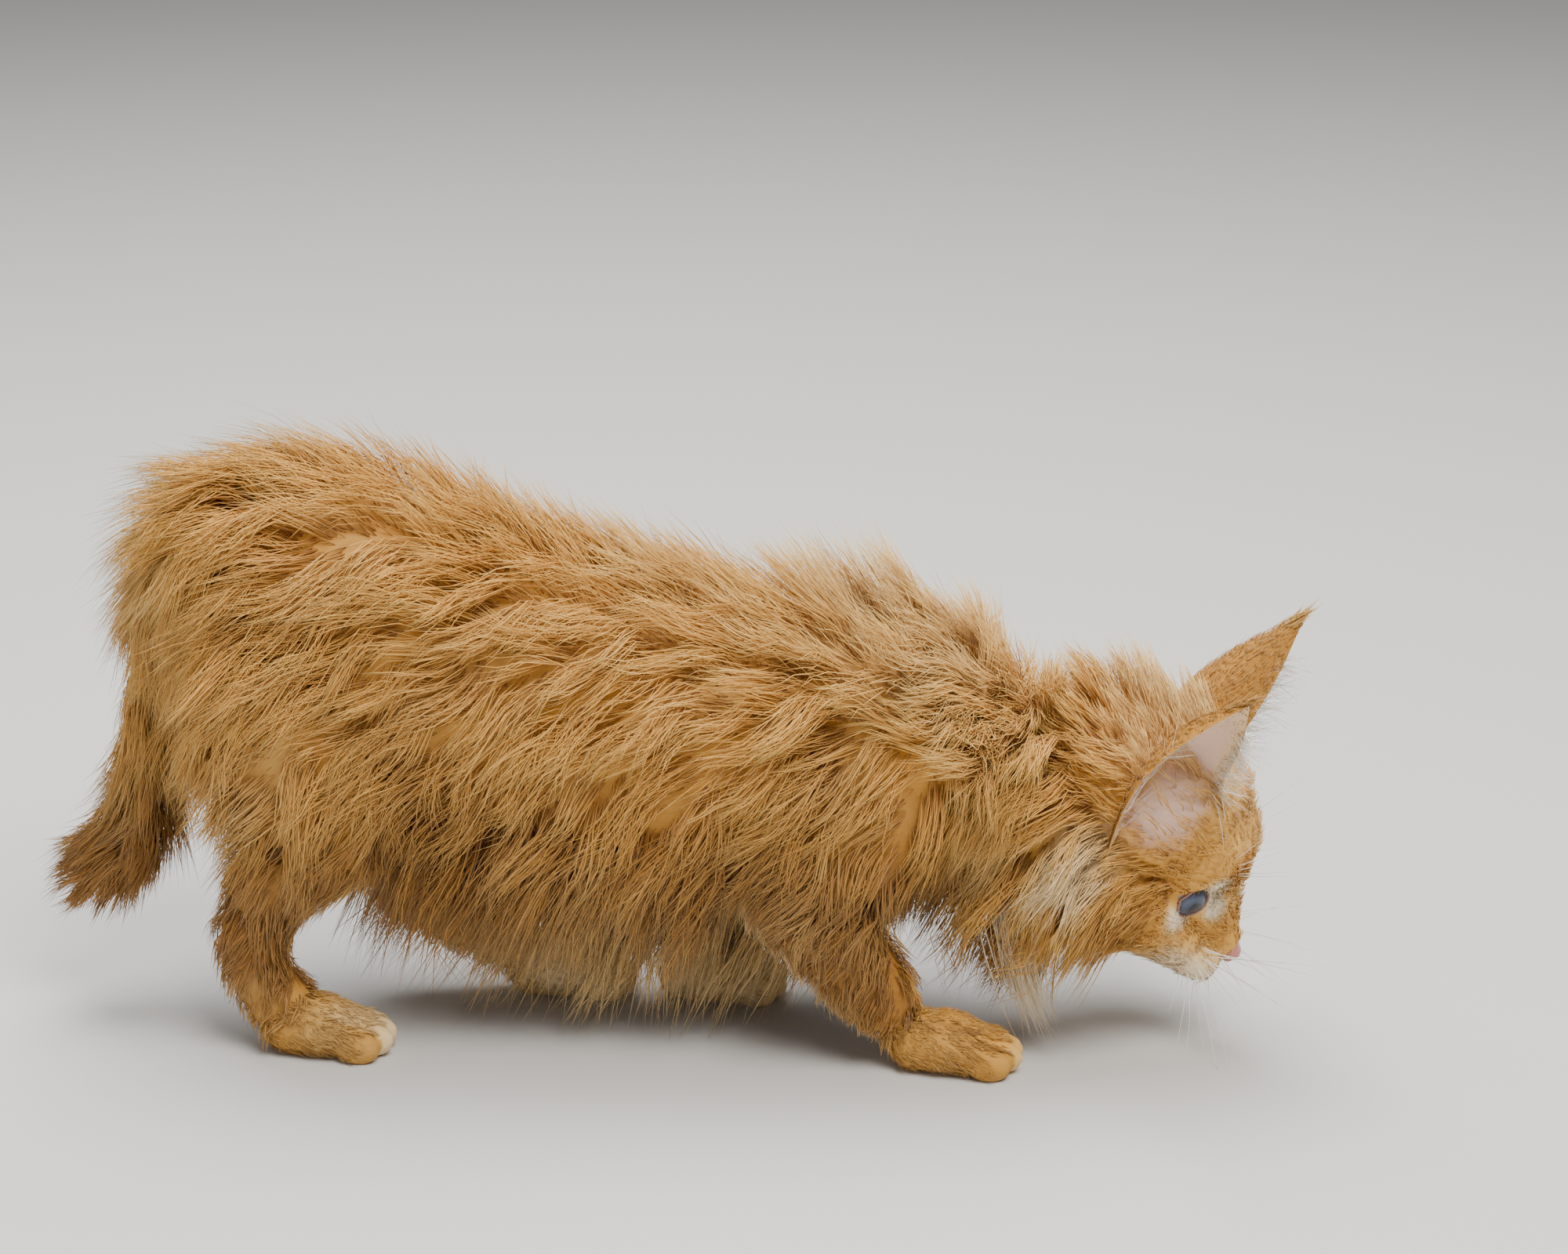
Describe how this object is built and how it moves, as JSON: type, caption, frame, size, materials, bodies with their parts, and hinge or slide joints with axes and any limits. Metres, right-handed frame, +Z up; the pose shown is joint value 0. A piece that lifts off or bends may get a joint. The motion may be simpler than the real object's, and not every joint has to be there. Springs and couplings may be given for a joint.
{
  "type": "long-haired kitten model",
  "caption": "Life-size still model of a long-haired ginger kitten stalking forward, head held low, tail hanging behind the rump.",
  "frame": {"origin": "on the floor, under the middle of the whole kitten's box", "axes": "+X the way the kitten walks, +Y its left side, +Z up"},
  "size_m": [0.3836, 0.1098, 0.1793],
  "materials": {
    "coat": "long soft ginger fur, golden cream at the tips, rusty in the shade",
    "pale_coat": "short pale cream fur",
    "nose_leather": "moist pink nose leather",
    "skin": "bare pink skin inside the ears and round the eyes",
    "eye": "wet, glossy slate-blue kitten eye",
    "whiskers": "fine white whiskers"
  },
  "bodies": {
    "root": {"torso": "coat", "neck": "coat", "tail_root": "coat", "tail_brush": "coat", "thigh_right": "coat", "shank_right": "coat", "hock_right": "coat", "hindpaw_right": "pale_coat", "shoulder_right": "coat", "forearm_right": "coat", "forepaw_right": "pale_coat", "thigh_left": "coat", "shank_left": "coat", "hock_left": "coat", "hindpaw_left": "pale_coat", "shoulder_left": "coat", "forearm_left": "coat", "forepaw_left": "pale_coat", "head": "coat", "jaw": "pale_coat", "nose": "nose_leather", "ear_left": "coat", "ear_right": "coat", "eye_left": "eye", "eye_right": "eye"}
  },
  "joints": []
}
